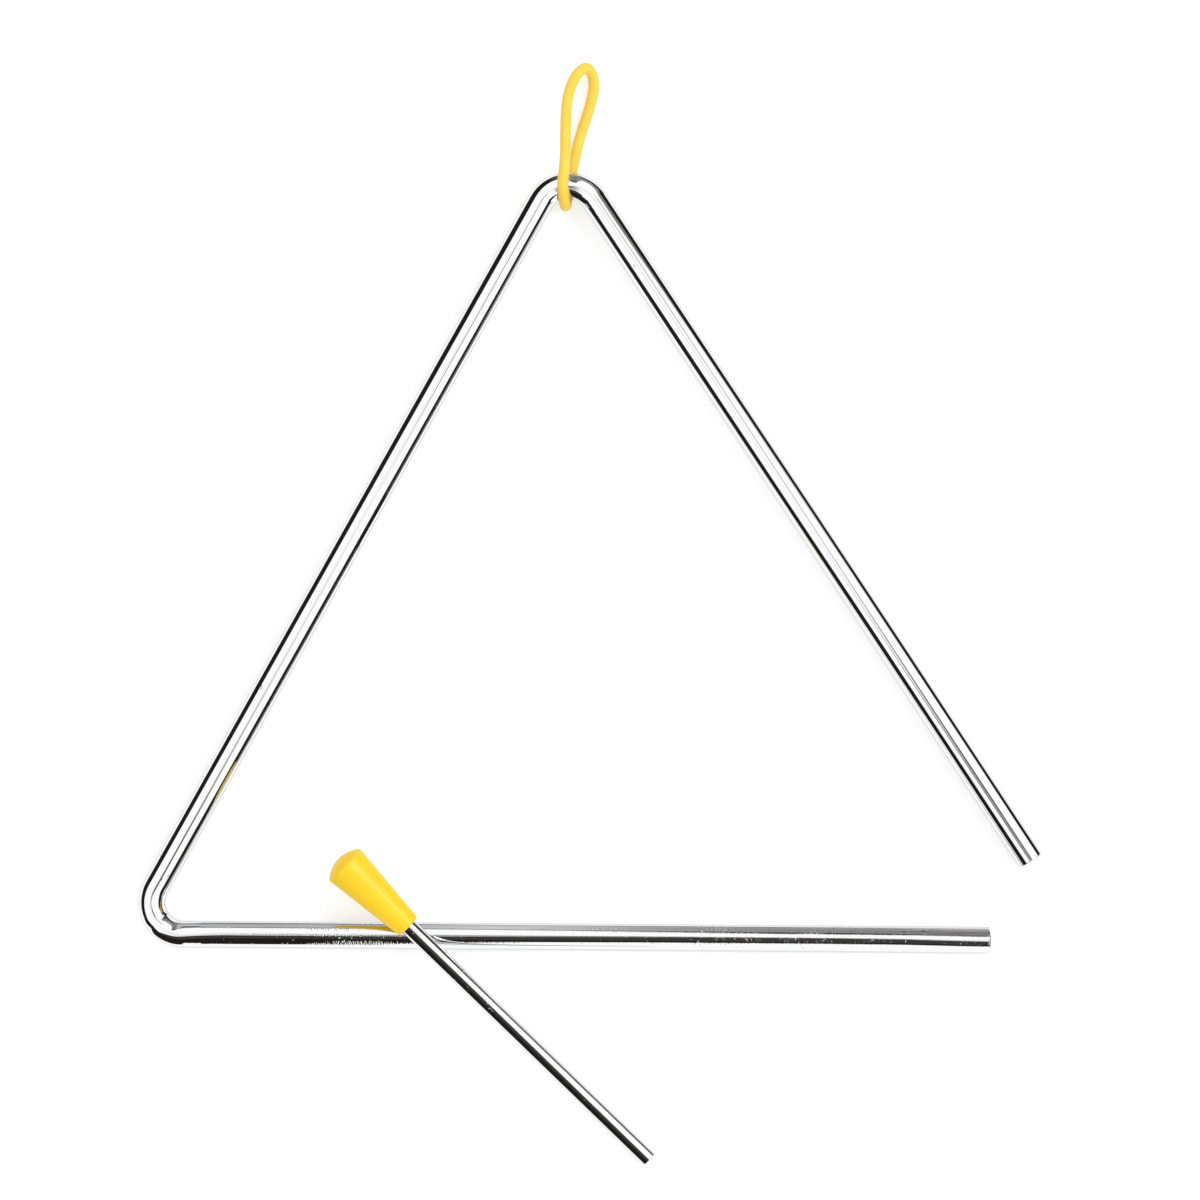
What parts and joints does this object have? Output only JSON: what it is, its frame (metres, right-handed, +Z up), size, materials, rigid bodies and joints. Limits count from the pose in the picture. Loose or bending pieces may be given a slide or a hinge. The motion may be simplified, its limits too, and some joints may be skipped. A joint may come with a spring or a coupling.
{
  "type": "triangle instrument",
  "caption": "Orchestral triangle bent from one round chromed steel rod, open at one corner, hung on a moulded rubber ring, with a steel beater in a domed soft plastic grip.",
  "frame": {"origin": "on the table that the triangle lies on, under the middle of the whole object's box", "axes": "+X along the bottom arm towards its free end, +Y from the bottom arm towards the apex, +Z up from the table"},
  "size_m": [0.2675, 0.3267, 0.0199],
  "materials": {
    "chrome": "polished chrome plating on steel rod",
    "loop_rubber": "soft moulded yellow rubber, satin",
    "grip": "soft yellow plastic, moulded, satin"
  },
  "bodies": {
    "triangle": {"triangle_rod": "chrome"},
    "loop": {"hanging_loop": "loop_rubber"},
    "beater": {"beater_rod": "chrome", "beater_handle": "grip"}
  },
  "joints": [
    {"name": "loop_swing", "type": "hinge", "parent": "triangle", "child": "loop", "pos_m": [-0.00795, 0.12675, 0.0076], "axis": [1, 0, 0], "continuous": true},
    {"name": "beater_lift", "type": "slide", "parent": "triangle", "child": "beater", "axis": [0, 0, 1], "range_m": [0, 0.06]}
  ]
}
